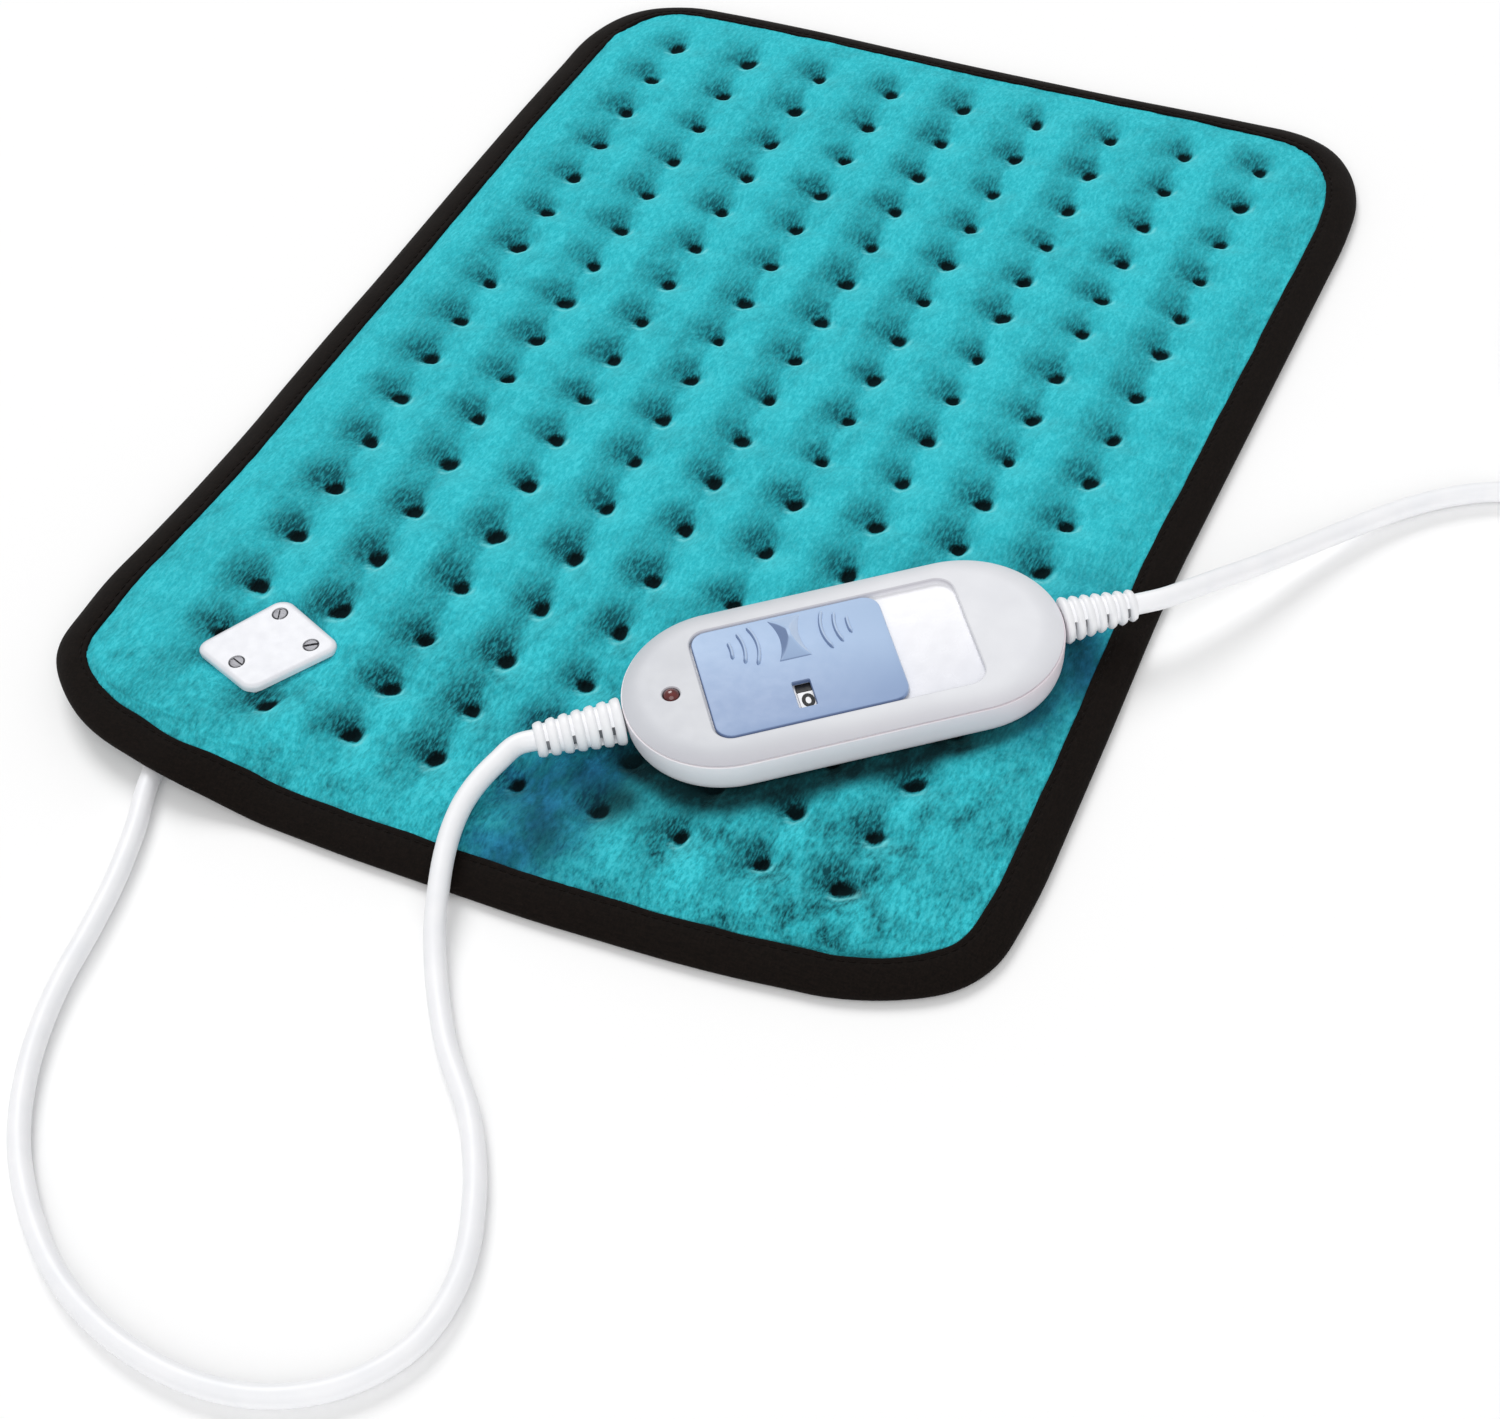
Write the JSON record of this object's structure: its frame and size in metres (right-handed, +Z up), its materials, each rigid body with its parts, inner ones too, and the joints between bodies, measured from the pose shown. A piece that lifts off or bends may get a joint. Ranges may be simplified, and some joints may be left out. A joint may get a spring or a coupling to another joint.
{
  "type": "heating pad with controller",
  "caption": "Tufted plush heating pad edged with dark tape, with a cord clamp plate, a slide controller lying on it and a coiled mains lead with its plug.",
  "frame": {"origin": "middle of the pad's outline, on the surface that the pad lies on", "axes": "+Z up from the pad, +Y along the pad's length away from the controller end, +X to the right where the mains lead leaves"},
  "size_m": [0.4653, 0.5602, 0.0238],
  "materials": {
    "plush": "short plush pile, quilted",
    "felt": "needled felt",
    "binding_tape": "woven tape, sewn",
    "wire_red": "wire insulation",
    "wire_blue": "wire insulation",
    "white_plastic": "smooth moulded",
    "housing": "smooth moulded",
    "slider_blue": "smooth moulded",
    "dark_plastic": "moulded",
    "cord_white": "satin PVC",
    "steel": "plated",
    "brass": "satin",
    "board_green": "laminate",
    "lamp_red": "clear tinted",
    "fuse_glass": "clear",
    "resistor_tan": "lacquered"
  },
  "bodies": {
    "pad_with_housing": {"pad_top_cover": "plush", "pad_bottom_cover": "plush", "pad_lower_felt": "felt", "pad_heat_spreader": "felt", "heating_wire": "wire_red", "edge_binding": "binding_tape", "clamp_plate": "white_plastic", "clamp_base": "white_plastic", "clamp_screw_1": "steel", "clamp_screw_2": "steel", "clamp_screw_3": "steel", "clamp_lead_boot": "cord_white", "thermal_cutout": "dark_plastic", "wire_crimp_1": "steel", "wire_crimp_2": "steel", "controller_lower_shell": "housing", "controller_upper_shell": "housing", "housing_screw_1": "steel", "housing_screw_2": "steel", "housing_screw_3": "steel", "housing_screw_4": "steel", "index_strip": "dark_plastic", "number_strip": "white_plastic", "circuit_board": "board_green", "level_contact_0": "brass", "level_contact_1": "brass", "level_contact_2": "brass", "level_contact_3": "brass", "common_contact": "brass", "indicator_led": "lamp_red", "terminal_block_left": "dark_plastic", "terminal_block_right": "dark_plastic", "core_left_1": "wire_red", "core_left_2": "wire_blue", "core_right_1": "wire_red", "core_right_2": "wire_blue", "fuse": "fuse_glass", "half_wave_diode": "dark_plastic", "led_resistor": "resistor_tan", "suppressor_capacitor": "wire_red", "strain_relief_left": "cord_white", "strain_relief_right": "cord_white", "pad_lead": "cord_white", "mains_lead": "cord_white", "mains_coil": "cord_white", "mains_tail": "cord_white", "cord_tie": "dark_plastic", "plug_body": "cord_white", "plug_pin_1": "brass", "plug_pin_2": "brass"},
    "slider": {"level_slider": "slider_blue", "slider_carrier": "dark_plastic", "contact_bridge": "brass", "detent_ball": "steel", "detent_leaf": "brass"}
  },
  "joints": [
    {"name": "level_slide", "type": "slide", "parent": "pad_with_housing", "child": "slider", "axis": [0.7837, 0.6211, 0], "range_m": [0, 0.0216]}
  ]
}
